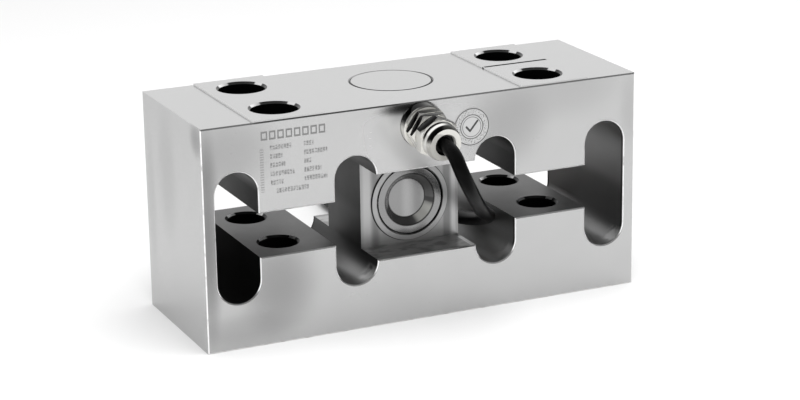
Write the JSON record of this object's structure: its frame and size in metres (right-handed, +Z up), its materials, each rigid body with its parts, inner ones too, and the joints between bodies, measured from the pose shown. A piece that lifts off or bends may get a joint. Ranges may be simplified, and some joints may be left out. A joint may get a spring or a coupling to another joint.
{
  "type": "single point load cell",
  "caption": "Slotted steel single point load cell with a set-back gauge block, bolt pads at both ends, and a cable from a gland on its front face.",
  "frame": {"origin": "middle of the body's bottom face", "axes": "+X along the body to the right of the front face, +Y from the front face to the back, +Z up, against the load"},
  "size_m": [0.17, 0.2012, 0.082],
  "materials": {
    "body": "fine ground stainless steel",
    "cover": "smooth stainless steel sheet",
    "nickel": "nickel-plated brass",
    "seal": "black nitrile rubber",
    "claw": "black polyamide",
    "cable": "satin black polyurethane sheath",
    "sleeve": "black heat-shrink sleeve",
    "tie": "black polyamide",
    "strip": "glass-fibre terminal strip",
    "board": "green solder mask",
    "adhesive": "white adhesive foam",
    "resistor": "black chip resistors",
    "post": "plated brass",
    "thin_wire": "varnished wire",
    "foil": "foil on polyimide film",
    "red": "red conductor sheath",
    "black": "black conductor sheath",
    "green": "green conductor sheath",
    "white": "white conductor sheath",
    "copper": "tinned copper strand",
    "sticker": "clear round film"
  },
  "bodies": {
    "root": {"load_cell_body": "body", "front_gauge_cover": "cover", "rear_gauge_cover": "cover", "top_cavity_cover": "cover", "front_terminal_strip": "strip", "rear_terminal_strip": "strip", "front_bridge_wires": "thin_wire", "rear_bridge_wires": "thin_wire", "compensation_board": "board", "board_adhesive_pad": "adhesive", "trim_resistors": "resistor", "solder_posts": "post", "gland_seal_ring": "seal", "gland_body": "nickel", "gland_clamping_claw": "claw", "gland_rubber_seal": "seal", "gland_cap_nut": "nickel", "cable_tail": "cable", "inner_wires": "thin_wire", "sensor_cable": "cable", "cable_hank": "cable", "cable_end": "cable", "cable_end_sleeve": "sleeve", "hank_front_tie": "tie", "hank_back_tie": "tie", "inspection_sticker": "sticker", "front_strain_gauge_left": "foil", "front_strain_gauge_right": "foil", "rear_strain_gauge_left": "foil", "rear_strain_gauge_right": "foil", "lead_red": "red", "lead_black": "black", "lead_green": "green", "lead_white": "white", "screen_wire": "copper"}
  },
  "joints": []
}
